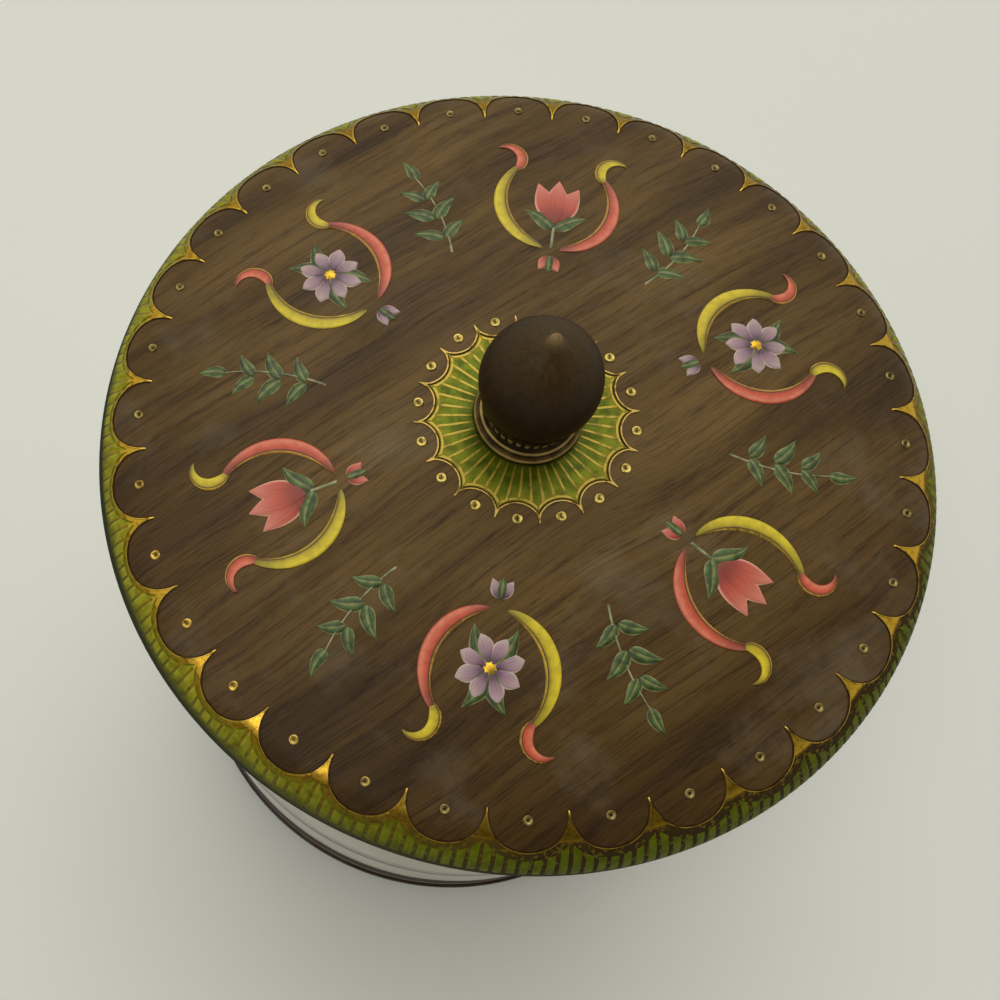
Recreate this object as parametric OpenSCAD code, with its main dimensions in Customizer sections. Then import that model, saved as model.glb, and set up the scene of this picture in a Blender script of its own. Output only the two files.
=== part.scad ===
// Round tin canister with a crowned lid and an acorn knob.
// Millimetres, +Z up, origin at the centre of the base.

/* [Body] */
// Outer radius of the rolled body wall
body_r = 74; // [60:0.5:90]
// Height of the body from the table to the top of its mouth curl
body_h = 157.45; // [100:0.05:220]
// Thickness of the body sheet
wall_t = 0.35; // [0.25:0.05:0.5]
// Radius of the outward curl round the mouth
curl_r = 1.8; // [1.5:0.1:2.2]
// Width of the lapped side seam
lap_w = 5; // [3:0.5:8]
// How far the side seam stands out from the wall
lap_t = 0.3; // [0.2:0.05:0.5]

/* [Bottom] */
// Thickness of the bottom sheet
end_t = 0.35; // [0.25:0.05:0.5]
// Height of the rolled seam that joins bottom and wall
seam_h = 3.2; // [2.8:0.1:4.5]
// Air left between the wall and the flange folded up beside it
fold_gap = 0.2; // [0.15:0.05:0.4]
// Outer corner radius of the rolled seam
seam_corner = 0.55; // [0.3:0.05:0.7]
// How far the bottom panel is sunk above the table
sink_h = 3.5; // [3:0.1:6]
// Outer radius of the raised centre of the bottom panel
step_r = 52; // [30:0.5:55]
// Width of the sloped ring round that raised centre
step_w = 3; // [1.5:0.1:4]
// Height of that raised centre
step_h = 1; // [0.5:0.1:2]

/* [Lid] */
// How far the lid reaches out past the body wall
lid_overhang = 5.9; // [5.6:0.1:6.6]
// Thickness of the lid sheet
lid_t = 0.35; // [0.25:0.05:0.5]
// Crown radius of the lid's shallow dome
crown_r = 437; // [300:1:700]
// Radius of the rounded shoulder
shoulder_r = 9; // [8.5:0.1:11]
// Radius of the inward curl along the lid's edge
hem_r = 0.8; // [0.6:0.05:1]

/* [Knob] */
// Largest radius of the acorn
ball_r = 10.6; // [9:0.1:13]
// Height of the acorn's widest place above the lid
ball_z = 14; // [12.8:0.1:16]
// Radius of the arc from the widest place up to the point
ogive_r = 13; // [11.5:0.1:16]
// Radius of the small tip
tip_r = 1.1; // [0.8:0.1:1.6]
// Height of the tip above the point where the upper arcs meet
tip_h = 2.3; // [1.5:0.1:3.5]
// How much wider the tip is where it leaves the acorn
tip_flare = 0.35; // [0.1:0.05:0.6]

/* [Ferrule] */
// Thickness of the fluted cup and its floor
cup_t = 0.6; // [0.5:0.05:0.8]
// Height of the cup's rim above the lid
cup_h = 7.8; // [7:0.1:9]
// Outer radius of the cup at its waist
waist_r = 7.9; // [7.6:0.1:8.4]
// Radius of the foot, over its lower bead
foot_r = 9.9; // [9.6:0.1:11]
// Tube radius of the lower bead
bead_low = 0.8; // [0.6:0.05:0.95]
// Tube radius of the upper bead
bead_top = 0.65; // [0.5:0.05:0.75]
// How far the upper bead sinks into the lower one
bead_sink = 0.25; // [0.1:0.05:0.4]
// Height of the plain waist between the upper bead and the flare
waist_h = 0.4; // [0.2:0.05:0.8]
// Number of flutes round the cup
flute_n = 32; // [20:1:40]
// Radius of one flute's groove
flute_r = 0.45; // [0.3:0.05:0.55]
// Depth of one flute
flute_depth = 0.25; // [0.15:0.05:0.3]

/* [Fasteners] */
// Radius of the knob screw's shank
screw_r = 2; // [1.5:0.1:2.5]
// Radius of the screw's head
head_r = 4; // [3.5:0.1:4.6]
// Height of the screw's head
head_h = 2.2; // [1.8:0.1:3]
// Height of the straight edge round the head
head_edge = 1; // [0.6:0.1:1.2]
// Width of the slot in the head
slot_w = 1; // [0.8:0.1:1.4]
// Depth of the slot in the head
slot_depth = 1.1; // [0.8:0.1:1.4]
// Radius of the washer under the lid
washer_r = 5.5; // [5:0.1:8]
// Thickness of the washer
washer_t = 0.8; // [0.5:0.1:1.2]
// Outer radius of the threaded insert in the knob
insert_r = 3.3; // [3.1:0.1:4]
// Length of the threaded insert
insert_len = 11; // [8:0.5:12]

/* [Clearances] */
// Gap between the lid's shoulder and the mouth curl it seats on
seat_gap = 0.3; // [0.2:0.05:0.5]
// Gap between the folded sheets inside the rolled seam
seam_fit = 0.05; // [0.02:0.01:0.08]
// Gap between the cup's rim and the acorn
cup_fit = 0.1; // [0.05:0.05:0.2]
// Radial running fit of the screw in the lid
run_fit = 0.08; // [0.04:0.01:0.1]
// Gap under the ferrule and over the washer, where the knob turns on the lid
turn_gap = 0.05; // [0.03:0.01:0.1]
// Radial fit of the screw in the insert, and of the insert in the knob
core_fit = 0.03; // [0.02:0.01:0.06]
// Flat margin on the lid round the ferrule's foot
land_margin = 0.5; // [0.3:0.1:1]
// Air between the acorn's stem and the cup's waist
stem_gap = 1.1; // [0.5:0.1:2]
// Air over the insert at the end of its socket
socket_gap = 0.3; // [0.1:0.1:0.6]
// How far the screw ends short of the socket's end
screw_gap = 0.6; // [0.4:0.1:1.5]
// Air between the side seam's ends and the rolled edges above and below it
lap_gap = 0.2; // [0.1:0.05:0.5]

/* [Hidden] */
$fn = 128;

// Where the body and lid curls end, in degrees on their own circle
mouth_curl_end = -130;
hem_curl_end = -245;
// Straight pieces that stand for each arc of a section
arc_n = 20;
dome_n = 24;

// Body: the mouth curl starts on the wall's inner face
wall_in = body_r - wall_t;
curl_c = [wall_in + curl_r, body_h - curl_r];

// Rolled seam, from the wall outwards
flange_z = end_t + seam_fit;
hook_in = body_r + fold_gap;
hook_out = hook_in + wall_t;
hook_top = seam_h - end_t - seam_fit - fold_gap;
cover_in = hook_out + seam_fit;
seam_r = cover_in + end_t;
chuck_out = wall_in - seam_fit;
chuck_in = chuck_out - end_t;

// Lid: the shoulder's arc rests over the mouth curl, and the dome is tangent to it
lid_r = body_r + lid_overhang;
shoulder_x = lid_r - shoulder_r;
seat_reach = shoulder_r - lid_t - curl_r - seat_gap;
shoulder_z = curl_c[1] - sqrt(pow(seat_reach, 2) - pow(curl_c[0] - shoulder_x, 2));
dome_angle = acos(shoulder_x / (crown_r - shoulder_r));
dome_z = shoulder_z - (crown_r - shoulder_r) * sin(dome_angle);
land_r = foot_r + land_margin;
land_z = dome_z + sqrt(pow(crown_r, 2) - pow(land_r, 2));
land_low = land_z - lid_t;
land_angle = acos(land_r / crown_r);
land_in_angle = acos(land_r / (crown_r - lid_t));
hole_r = screw_r + run_fit;

// Knob stack, upwards from the flat on the lid
foot_z = land_z + turn_gap;
floor_top = foot_z + cup_t;
ball_c = foot_z + ball_z;
rim_z = foot_z + cup_h;
rim_in = sqrt(pow(ball_r, 2) - pow(ball_c - rim_z, 2)) + cup_fit;
rim_r = rim_in + cup_t;
bead_low_c = [foot_r - bead_low, foot_z + bead_low];
bead_top_c = [bead_low_c[0] - bead_top, bead_low_c[1] + bead_low + bead_top - bead_sink];
waist_z = bead_top_c[1] + bead_top + waist_h;
stem_r = waist_r - cup_t - stem_gap;
ogive_c = ball_r - ogive_r;
point_z = ball_c + sqrt(pow(ogive_r, 2) - pow(ogive_c, 2));
tip_z = point_z + tip_h - tip_r;
bore_r = screw_r + core_fit;
socket_r = insert_r + core_fit;
socket_top = floor_top + insert_len + socket_gap;
shank_top = socket_top - screw_gap;
washer_z = land_low - turn_gap - washer_t;

// Points of an arc round c from angle a0 to angle a1, in n steps
function arc(c, r, a0, a1, n) =
    [for (i = [0:n]) c + r * [cos(a0 + (a1 - a0) * i / n), sin(a0 + (a1 - a0) * i / n)]];

// The same points in the other order
function back(p) = [for (i = [len(p) - 1:-1:0]) p[i]];

// Height of the bottom panel's underside at its corner points, from the middle outwards
function panel(lift) = [
    [0, sink_h + step_h + lift],
    [step_r - step_w, sink_h + step_h + lift],
    [step_r, sink_h + lift]
];

// Rolled sheet wall: flange inside the bottom seam, straight wall, outward curl at the mouth
module body_wall() {
    color("#c9c3c6") {
        rotate_extrude()
            polygon(concat(
                [[wall_in, flange_z], [hook_out, flange_z], [hook_out, hook_top]],
                [[hook_in, hook_top], [hook_in, flange_z + wall_t], [body_r, flange_z + wall_t]],
                arc(curl_c, curl_r - wall_t, 180, mouth_curl_end, arc_n),
                back(arc(curl_c, curl_r, 180, mouth_curl_end, arc_n))
            ));
        side_lap();
    }
}

// Lapped side seam: a slightly raised upright strip at the back of the wall
module side_lap() {
    lap_low = seam_h + lap_gap;
    lap_top = curl_c[1] - curl_r - lap_gap;
    intersection() {
        translate([-lap_w / 2, 0, lap_low])
            cube([lap_w, body_r + 2 * lap_t, lap_top - lap_low]);
        difference() {
            cylinder(r = body_r + lap_t, h = body_h);
            translate([0, 0, -1])
                cylinder(r = body_r - wall_t / 2, h = body_h + 2);
        }
    }
}

// Stamped bottom: sunk panel, wall that stands inside the body, and the rolled seam outside it
module bottom_disc() {
    corner = seam_corner;
    lip_in = body_r + fold_gap / 2;
    color("#3b2a20")
        rotate_extrude()
            polygon(concat(
                panel(0),
                [[chuck_in, sink_h], [chuck_in, 0]],
                arc([seam_r - corner, corner], corner, -90, 0, 6),
                arc([seam_r - corner, seam_h - corner], corner, 0, 90, 6),
                [[lip_in, seam_h], [lip_in, seam_h - end_t], [cover_in, seam_h - end_t]],
                [[cover_in, end_t], [chuck_out, end_t], [chuck_out, sink_h + end_t]],
                back(panel(end_t))
            ));
}

// Drawn lid: flat land for the knob, shallow dome, rounded shoulder, and a curled edge
module lid() {
    hem_c = [lid_r - hem_r, shoulder_z];
    shoulder_c = [shoulder_x, shoulder_z];
    color("#54442c")
        rotate_extrude()
            polygon(concat(
                [[hole_r, land_z]],
                arc([0, dome_z], crown_r, land_angle, dome_angle, dome_n),
                arc(shoulder_c, shoulder_r, dome_angle, 0, arc_n),
                arc(hem_c, hem_r, 0, hem_curl_end, arc_n),
                back(arc(hem_c, hem_r - lid_t, 0, hem_curl_end, arc_n)),
                back(arc(shoulder_c, shoulder_r - lid_t, dome_angle, 0, arc_n)),
                back(arc([0, dome_z], crown_r - lid_t, land_in_angle, dome_angle, dome_n)),
                [[hole_r, land_low]]
            ));
}

// Brass cup under the acorn: floor, double beaded foot, waist, and a fluted flare
module knob_ferrule() {
    floor_hole = screw_r + run_fit;
    slope = atan((rim_r - waist_r) / (rim_z - waist_z));
    color("#a08648")
        difference() {
            rotate_extrude() {
                polygon([
                    [floor_hole, foot_z],
                    [bead_low_c[0], foot_z],
                    [bead_low_c[0], bead_low_c[1]],
                    [bead_top_c[0], bead_top_c[1]],
                    [waist_r, waist_z],
                    [rim_r, rim_z],
                    [rim_in, rim_z],
                    [waist_r - cup_t, waist_z],
                    [waist_r - cup_t, floor_top],
                    [floor_hole, floor_top]
                ]);
                translate(bead_low_c)
                    circle(r = bead_low);
                translate(bead_top_c)
                    circle(r = bead_top);
            }
            for (i = [0:flute_n - 1])
                rotate(i * 360 / flute_n)
                    translate([waist_r + flute_r - flute_depth, 0, waist_z + flute_r])
                        rotate([0, slope, 0])
                            cylinder(r = flute_r, h = cup_h, $fn = 24);
        }
}

// Acorn: stem in the cup, round lower half, pointed upper half, and a small tip
module knob() {
    stem_top = ball_c - sqrt(pow(ball_r, 2) - pow(stem_r, 2));
    low_angle = -acos(stem_r / ball_r);
    tip_side = tip_r + tip_flare;
    top_angle = acos((tip_side - ogive_c) / ogive_r);
    color("#2c2116")
        rotate_extrude()
            polygon(concat(
                [[socket_r, floor_top], [stem_r, floor_top], [stem_r, stem_top]],
                arc([0, ball_c], ball_r, low_angle, 0, arc_n),
                arc([ogive_c, ball_c], ogive_r, 0, top_angle, arc_n),
                arc([0, tip_z], tip_r, 0, 90, 6),
                [[0, socket_top], [socket_r, socket_top]]
            ));
}

// Threaded insert pressed into the acorn's stem
module knob_insert() {
    color("#b8923c")
        rotate_extrude()
            polygon([
                [bore_r, floor_top],
                [insert_r, floor_top],
                [insert_r, floor_top + insert_len],
                [bore_r, floor_top + insert_len]
            ]);
}

// Slotted screw, put in from inside the lid
module knob_screw() {
    dome = head_h - head_edge;
    cap_r = (pow(head_r, 2) + pow(dome, 2)) / (2 * dome);
    cap_angle = asin(head_r / cap_r);
    color("#b9b9b4")
        difference() {
            rotate_extrude()
                polygon(concat(
                    [[0, shank_top], [screw_r, shank_top]],
                    [[screw_r, washer_z], [head_r, washer_z]],
                    arc([0, washer_z - head_h + cap_r], cap_r, cap_angle - 90, -90, 8)
                ));
            translate([-head_r, -slot_w / 2, washer_z - head_h])
                cube([2 * head_r, slot_w, slot_depth]);
        }
}

// Washer between the screw's head and the underside of the lid
module screw_washer() {
    color("#c4c4c0")
        rotate_extrude()
            polygon([
                [bore_r, washer_z],
                [washer_r, washer_z],
                [washer_r, washer_z + washer_t],
                [bore_r, washer_z + washer_t]
            ]);
}

body_wall();
bottom_disc();
lid();
knob_ferrule();
knob();
knob_insert();
knob_screw();
screw_washer();
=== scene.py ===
"""Looks of a round lithographed tin canister: printed lid, acorn knob in a fluted cup, enamelled body."""
import math
from functools import partial

import bmesh
import bpy
import numpy as np
from mathutils import Matrix, Vector


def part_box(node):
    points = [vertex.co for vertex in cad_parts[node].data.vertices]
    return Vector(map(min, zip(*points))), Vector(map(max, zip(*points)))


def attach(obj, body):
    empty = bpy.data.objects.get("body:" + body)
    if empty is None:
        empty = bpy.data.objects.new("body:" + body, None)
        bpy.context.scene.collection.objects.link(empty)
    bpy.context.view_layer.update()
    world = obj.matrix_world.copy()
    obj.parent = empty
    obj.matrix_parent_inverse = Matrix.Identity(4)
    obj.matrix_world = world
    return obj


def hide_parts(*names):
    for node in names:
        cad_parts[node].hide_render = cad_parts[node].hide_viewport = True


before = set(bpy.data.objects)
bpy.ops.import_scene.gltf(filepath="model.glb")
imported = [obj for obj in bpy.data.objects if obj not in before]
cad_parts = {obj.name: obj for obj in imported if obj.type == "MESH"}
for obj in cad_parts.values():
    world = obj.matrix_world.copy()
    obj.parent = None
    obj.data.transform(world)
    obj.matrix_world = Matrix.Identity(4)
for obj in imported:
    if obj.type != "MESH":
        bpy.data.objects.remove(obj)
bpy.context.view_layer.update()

MM = 0.001
TENTH = 100 * MM
PI = math.pi
TURN = 2 * PI
WHITE = "#ffffff"
BLACK = "#000000"

# Columns round a large turned sheet
ROUND = 384

# Sizes taken from the frame
lid_low, lid_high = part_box("lid")
wall_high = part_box("body_wall")[1]
base_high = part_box("bottom_disc")[1]
cup_low, cup_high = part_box("knob_ferrule")
acorn_low, acorn_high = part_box("knob")

# Lid sheet: crown radius, shoulder radius, hem curl, sheet, flat land and screw hole
CROWN_R = 437 * MM
SHOULDER_R = 9 * MM
HEM_R = 0.8 * MM
HEM_END = math.radians(-245)
SHEET = 0.35 * MM
LAND_R = 10.4 * MM
HOLE_R = 2.08 * MM

LID_R = lid_high.x
SHOULDER_X = LID_R - SHOULDER_R
SHOULDER_Z = lid_low.z + HEM_R
DOME_TILT = math.acos(SHOULDER_X / (CROWN_R - SHOULDER_R))
DOME_Z = SHOULDER_Z - (CROWN_R - SHOULDER_R) * math.sin(DOME_TILT)
DOME_END = CROWN_R * (PI / 2 - DOME_TILT)
LID_END = DOME_END + SHOULDER_R * DOME_TILT
LAND_Z = lid_high.z

# Heights over the lid's solid: the sheet's printed face, the hidden side of a layer of print, and the
# layers' tops
FACE = -0.10 * MM
SUNK = -0.16 * MM
GROUND = -0.04 * MM
BARS = 0.02 * MM
LINES = 0.07 * MM
LEAVES = 0.10 * MM
SCROLLS = 0.12 * MM
PETALS = 0.16 * MM
DOTS = 0.30 * MM

# Direction from the axis to the side of the lid that was handled most and where the border carries painted
# shade, and the wood grain's angle
WORN_AND_SHADED_SIDE = (0.57, -0.82, 0.0)
GRAIN_TURN = math.radians(-37)

# Printed border: half circles round the lid, one to each dot, with upright bars below them
LOBES = 32
LOBE_TURN = math.radians(0.2)
LOBE_S = 70.0 * MM
LOBE_R = 7.4 * MM
LOBE_HALF = PI / LOBES
BAR_COUNT = 7 * LOBES
BAR_SHARE = 0.72
OFF_TURN = math.radians(305)
CREASE_S = 75.0 * MM
CREASE_END_S = CREASE_S + 0.7 * MM
DOT_S = 71.7 * MM
DOT_R = 1.0 * MM

# Printed rosette round the knob: hollow arcs between points, one arc to each dot
POINTS = 16
POINT_TURN = math.radians(16.9)
ARC_C = 21.47 * MM
ARC_R = 4.47 * MM
RAYS = 48
ROSETTE_DOT_S = 19.94 * MM

# Garland: six medallions round the lid, each a flower between two scrolls, and a leaf spray between
# neighbours
GARLAND_R = 47 * MM
MEDALLIONS = 6
GARLAND_TURN = math.radians(-98)

# Wall and bottom sheets
WALL_T = 0.35 * MM
CURL_R = 1.8 * MM
CURL_END = math.radians(-130)
LAP_W = 5 * MM
LAP_T = 0.3 * MM
SEAM_FIT = 0.05 * MM
FOLD_GAP = 0.2 * MM
SINK_H = 3.5 * MM
STEP_H = 1.0 * MM
STEP_R = 52 * MM
STEP_W = 3 * MM

SEAM_R = base_high.x
COVER_IN = SEAM_R - WALL_T
HOOK_OUT = COVER_IN - SEAM_FIT
HOOK_IN = HOOK_OUT - WALL_T
WALL_R = HOOK_IN - FOLD_GAP
WALL_IN = WALL_R - WALL_T
CHUCK_OUT = WALL_IN - SEAM_FIT
SEAM_H = 3.2 * MM
FLANGE_Z = WALL_T + SEAM_FIT
HOOK_TOP = SEAM_H - WALL_T - SEAM_FIT - FOLD_GAP
CURL_Z = wall_high.z - CURL_R

# Middle of the knob's round lower half, which sits in the cup
BALL_Z = cup_low.z + 14 * MM


def linear(code):
    """Linear colour of an sRGB hex code."""
    s = np.array([int(code[i:i + 2], 16) for i in (1, 3, 5)]) / 255
    rgb = np.where(s <= 0.04045, s / 12.92, ((s + 0.055) / 1.055) ** 2.4)
    return (*rgb.tolist(), 1.0)


def quads(rows, columns):
    """Corner numbers of a grid's quads: down a row, then along to the next column, so that a profile that
    runs outwards and down, turned by a growing angle, faces outwards."""
    at = np.arange(rows * columns).reshape(rows, columns)
    ring = (at[:-1, :-1], at[1:, :-1], at[1:, 1:], at[:-1, 1:])
    return np.stack(ring, -1).reshape(-1, 4)


def make_piece(name, body, grids, materials, part=None):
    """Joins grids of points into one welded mesh that rides on a body. Each grid is (points, uv), with
    points as rows x columns x 3 in metres and uv as rows x columns x 2. part gives each grid's material
    number."""
    points, faces, uvs, index = [], [], [], []
    count = 0
    for k, (p, uv) in enumerate(grids):
        q = quads(*p.shape[:2])
        points.append(p.reshape(-1, 3))
        uvs.append(uv.reshape(-1, 2))
        faces.append(q + count)
        index.append(np.full(len(q), part[k] if part else 0))
        count += p.shape[0] * p.shape[1]
    points, faces, uvs = np.concatenate(points), np.concatenate(faces), np.concatenate(uvs)
    mesh = bpy.data.meshes.new(name)
    mesh.from_pydata(points.tolist(), [], faces.tolist())
    mesh.uv_layers.new(name="print").data.foreach_set("uv", uvs[faces.ravel()].astype(np.float32).ravel())
    mesh.polygons.foreach_set("material_index", np.concatenate(index).astype(np.int32))
    bm = bmesh.new()
    bm.from_mesh(mesh)
    bmesh.ops.remove_doubles(bm, verts=bm.verts, dist=1e-4 * MM)
    bm.to_mesh(mesh)
    bm.free()
    mesh.polygons.foreach_set("use_smooth", np.ones(len(mesh.polygons), bool))
    mesh.set_sharp_from_angle(angle=math.radians(50))
    for material_used in materials:
        mesh.materials.append(material_used)
    piece = bpy.data.objects.new(name, mesh)
    bpy.context.scene.collection.objects.link(piece)
    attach(piece, body)
    return piece


def arc(centre, radius, start, end, n):
    """Points of a circle's arc: centre + radius (cos a, sin a), for n even steps of a from start to end."""
    a = np.linspace(start, end, n + 1)
    return np.stack([centre[0] + radius * np.cos(a), centre[1] + radius * np.sin(a)], -1)


def rounded(corners, radii, n):
    """A polyline with its corners rounded: each corner becomes a quadratic curve that starts and ends a
    radius away along its two sides."""
    corners = np.asarray(corners, float)
    out = [corners[:1]]
    t = np.linspace(0, 1, n + 1)[:, None]
    for i in range(1, len(corners) - 1):
        a, c, b = corners[i - 1:i + 2]
        reach = min(radii[i], np.hypot(*(a - c)) / 2, np.hypot(*(b - c)) / 2)
        start = c + (a - c) / np.hypot(*(a - c)) * reach
        end = c + (b - c) / np.hypot(*(b - c)) * reach
        out.append((1 - t) ** 2 * start + 2 * t * (1 - t) * c + t ** 2 * end)
    out.append(corners[-1:])
    return np.concatenate(out)


def stacked(*parts):
    """Arrays of like shape put together along a new last axis."""
    return np.stack(np.broadcast_arrays(*parts), -1)


def turned(profile, angles):
    """A profile of (radius, height) points turned about the Z axis through a list of angles, or an even
    count of them: (r cos a, r sin a, z). The uv is the share of a turn and the height over TENTH."""
    if isinstance(angles, int):
        angles = np.linspace(0, TURN, angles + 1)
    a = np.append(angles[:-1], angles[0])
    r, z = profile[:, :1], profile[:, 1:]
    return stacked(r * np.cos(a), r * np.sin(a), z), stacked(angles / TURN, z / TENTH)


def on_lid(s, turn, lift):
    """The lid's outer face at arc length s from the axis and at an angle, moved out by lift along its
    normal. The arc is a circle of the crown radius over the dome, then one of the shoulder radius."""
    dome = s < DOME_END
    a = np.where(dome, PI / 2 - s / CROWN_R, DOME_TILT - (s - DOME_END) / SHOULDER_R)
    radius = np.where(dome, CROWN_R, SHOULDER_R) + lift
    r = np.where(dome, 0, SHOULDER_X) + radius * np.cos(a)
    z = np.where(dome, DOME_Z, SHOULDER_Z) + radius * np.sin(a)
    return stacked(r * np.cos(turn), r * np.sin(turn), z)


def print_piece(name, ink, s, turn, share, top, uv):
    """A thin closed layer of print on the lid, as one patch or a stack of them: rows x columns, or patches
    x rows x columns. Its height is SUNK + share (top - SUNK) over the lid's solid, its underside is at
    SUNK, and the two meet at the patch's rim, where share is 0. A patch that was drawn mirrored is turned
    face up."""
    s, turn, share = np.broadcast_arrays(s, turn, share)
    shape = (-1,) + s.shape[-2:]
    uv = np.broadcast_to(stacked(*uv), s.shape + (2,)).reshape(shape + (2,))
    high = on_lid(s, turn, SUNK + share * (top - SUNK)).reshape(shape + (3,))
    low = on_lid(s, turn, SUNK).reshape(shape + (3,))
    down = high[:, 1:, :-1] - high[:, :-1, :-1]
    along = high[:, :-1, 1:] - high[:, :-1, :-1]
    face_up = np.cross(down, along)[..., 2].sum(axis=(1, 2)) > 0
    grids = []
    for k, up in enumerate(face_up):
        step = 1 if up else -1
        grids += [(high[k, ::step], uv[k, ::step]), (low[k, ::-step], uv[k, ::-step])]
    make_piece(name, "lid", grids, [ink])


def rim(t, edge):
    """1 inside a patch and 0 at its rim, where t is -1 or 1: the height rises over the share edge of its
    half width."""
    return np.clip((1 - np.abs(t)) / edge, 0, 1)


def steps(n, edge):
    """n + 1 even steps between -1 and 1 with one more beside each end, a share edge away from it."""
    return np.concatenate([[-1], np.linspace(-1 + edge, 1 - edge, n + 1), [1]])


def round_lid(count, turn0):
    """The angles of a number of patches set evenly round the lid, from turn0, for a stack of patches."""
    return (np.arange(count) * TURN / count + turn0)[:, None, None]


def place(x, y, radius, angle):
    """Plan points of a motif drawn about its own origin, with x pointing outwards, put at a radius and an
    angle on the lid. Returns their arc length and angle on the lid."""
    r = np.hypot(radius + x, y)
    return CROWN_R * np.arcsin(r / CROWN_R), angle + np.arctan2(y, radius + x)


def set_inputs(node, inputs):
    """Fills a node's inputs, given by name, or as a list in the order of those in use. Each gets a number,
    a row of numbers, a hex colour, or a link from an output or from a node's first output in use."""
    if isinstance(inputs, dict):
        filled = [(node.inputs[name], value) for name, value in inputs.items()]
    else:
        filled = list(zip([socket for socket in node.inputs if socket.enabled], inputs))
    for socket, value in filled:
        if isinstance(value, bpy.types.Node):
            value = next(output for output in value.outputs if output.enabled)
        if isinstance(value, bpy.types.NodeSocket):
            node.id_data.links.new(value, socket)
        else:
            socket.default_value = linear(value) if isinstance(value, str) else value


def add_node(tree, kind, inputs=(), stops=(), **settings):
    """Adds a shader node with its inputs, its own settings, and a colour ramp's (place, colour) stops."""
    made = tree.nodes.new("ShaderNode" + kind)
    for key, value in settings.items():
        setattr(made, key, value)
    set_inputs(made, inputs)
    for k, (at, code) in enumerate(stops):
        ramp = made.color_ramp.elements
        stop = ramp[k] if k < 2 else ramp.new(at)
        stop.position = at
        stop.color = linear(code)
    return made


# Settings of a Mix node: one colour over another, and two colours multiplied
OVER = {"data_type": "RGBA"}
TIMES = {"data_type": "RGBA", "blend_type": "MULTIPLY"}

# Settings of a maths node
PRODUCT = {"operation": "MULTIPLY"}
LESS = {"operation": "SUBTRACT"}
DISTANCE = {"operation": "DISTANCE"}
TOWARDS = {"operation": "DOT_PRODUCT"}


def material(name, **sockets):
    """A new material with one Principled shader, whose sockets take the values given by name. Returns the
    material, add_node for its tree, its shader and the piece's Object coordinates."""
    made = bpy.data.materials.new(name)
    made.use_nodes = True
    add = partial(add_node, made.node_tree)
    shader = made.node_tree.nodes["Principled BSDF"]
    for key, value in sockets.items():
        set_inputs(shader, {key.replace("_", " ").title().replace("Ior", "IOR"): value})
    return made, add, shader, add("TexCoord").outputs["Object"]


def print_uv(add):
    """The two values of a piece's own uv map."""
    return add("SeparateXYZ", [add("UVMap", uv_map="print")]).outputs[:2]


def clouds(add, where, size, detail, stops):
    """Soft noise with clouds of a real size in millimetres, coloured by stops."""
    return add("ValToRGB", [add("TexNoise", [where, 1 / (size * MM), detail])], stops)


def grain(add, where, sizes, detail, rough=0.5):
    """Noise drawn out like grain: its real sizes along x, y and z are in millimetres."""
    drawn = add("Mapping", {"Vector": where, "Scale": [1 / (size * MM) for size in sizes]})
    return add("TexNoise", [drawn, 1.0, detail, rough])


def wood_print():
    """Walnut grain printed on tinplate under a satin varnish: broad soft bands, thin dark lines and short
    fine pores along the grain, and pale clouds where hands have rubbed the varnish."""
    made, add, shader, where = material("walnut_litho_print", roughness=0.5, specular_ior_level=0.16)
    along = add("Mapping", {"Vector": where, "Rotation": (0, 0, GRAIN_TURN)})
    # The grain runs along x, and bends by a few millimetres over some 40 mm
    bend = add("TexNoise", [along, 1 / (40 * MM), 1.0]).outputs["Color"]
    path = add("VectorMath", [along, add("VectorMath", [bend, (0.0, 6 * MM, 0.0)], **PRODUCT)])
    # Length and width in mm of bands, streaks, lines and pores, and each one's detail
    marks = ((70, 13, 2), (30, 1.6, 4), (17, 0.34, 2), (4.0, 0.2, 1))
    band, streak, line, pore = [grain(add, path, (length, width, 50), detail, 0.6)
                                for length, width, detail in marks]
    colour = add("ValToRGB", [band], [(0.34, "#4b3618"), (0.5, "#5e461e"), (0.66, "#6a5128")])
    # Pores are short dark dashes, thicker where the streaks are
    pore = add("Math", [pore, add("MapRange", [streak, 0.3, 0.65, 0.09, -0.07])])
    streak = add("ValToRGB", [streak], [(0.34, "#a8938a"), (0.54, WHITE)])
    line = add("ValToRGB", [line], [(0.34, "#7e6a5c"), (0.45, WHITE)])
    pore = add("ValToRGB", [pore], [(0.58, WHITE), (0.68, "#6f5a48")])
    for share, mark in ((0.48, streak), (0.5, line), (0.5, pore)):
        colour = add("Mix", [share, colour, mark], **TIMES)
    # Painted shade: darker towards the rim, most at the front
    off_back = add("VectorMath", [where, (-5 * MM, 12 * MM, 160 * MM)], **DISTANCE)
    painted_front_shade = add("MapRange", [off_back, 45 * MM, 85 * MM])
    colour = add("Mix", [painted_front_shade, colour, "#c6bea8"], **TIMES)
    # Handled most on one side of the lid, where the pale clouds are stronger
    cloud = add("TexNoise", [where, 1 / (22 * MM), 5.0, 0.65])
    off_hand = add("VectorMath", [where, (50 * MM, -40 * MM, 160 * MM)], **DISTANCE)
    worn = add("Math", [cloud, add("MapRange", [off_hand, 12 * MM, 48 * MM, 0.09, 0.0])])
    rubbed = add("MapRange", [worn, 0.54, 0.76, 0.0, 0.26])
    colour = add("Mix", [rubbed, colour, "#857c6a"], **OVER)
    dull = add("MapRange", [worn, 0.35, 0.7, 0.4, 0.58])
    set_inputs(shader, {"Base Color": colour, "Roughness": dull})
    return made


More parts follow.
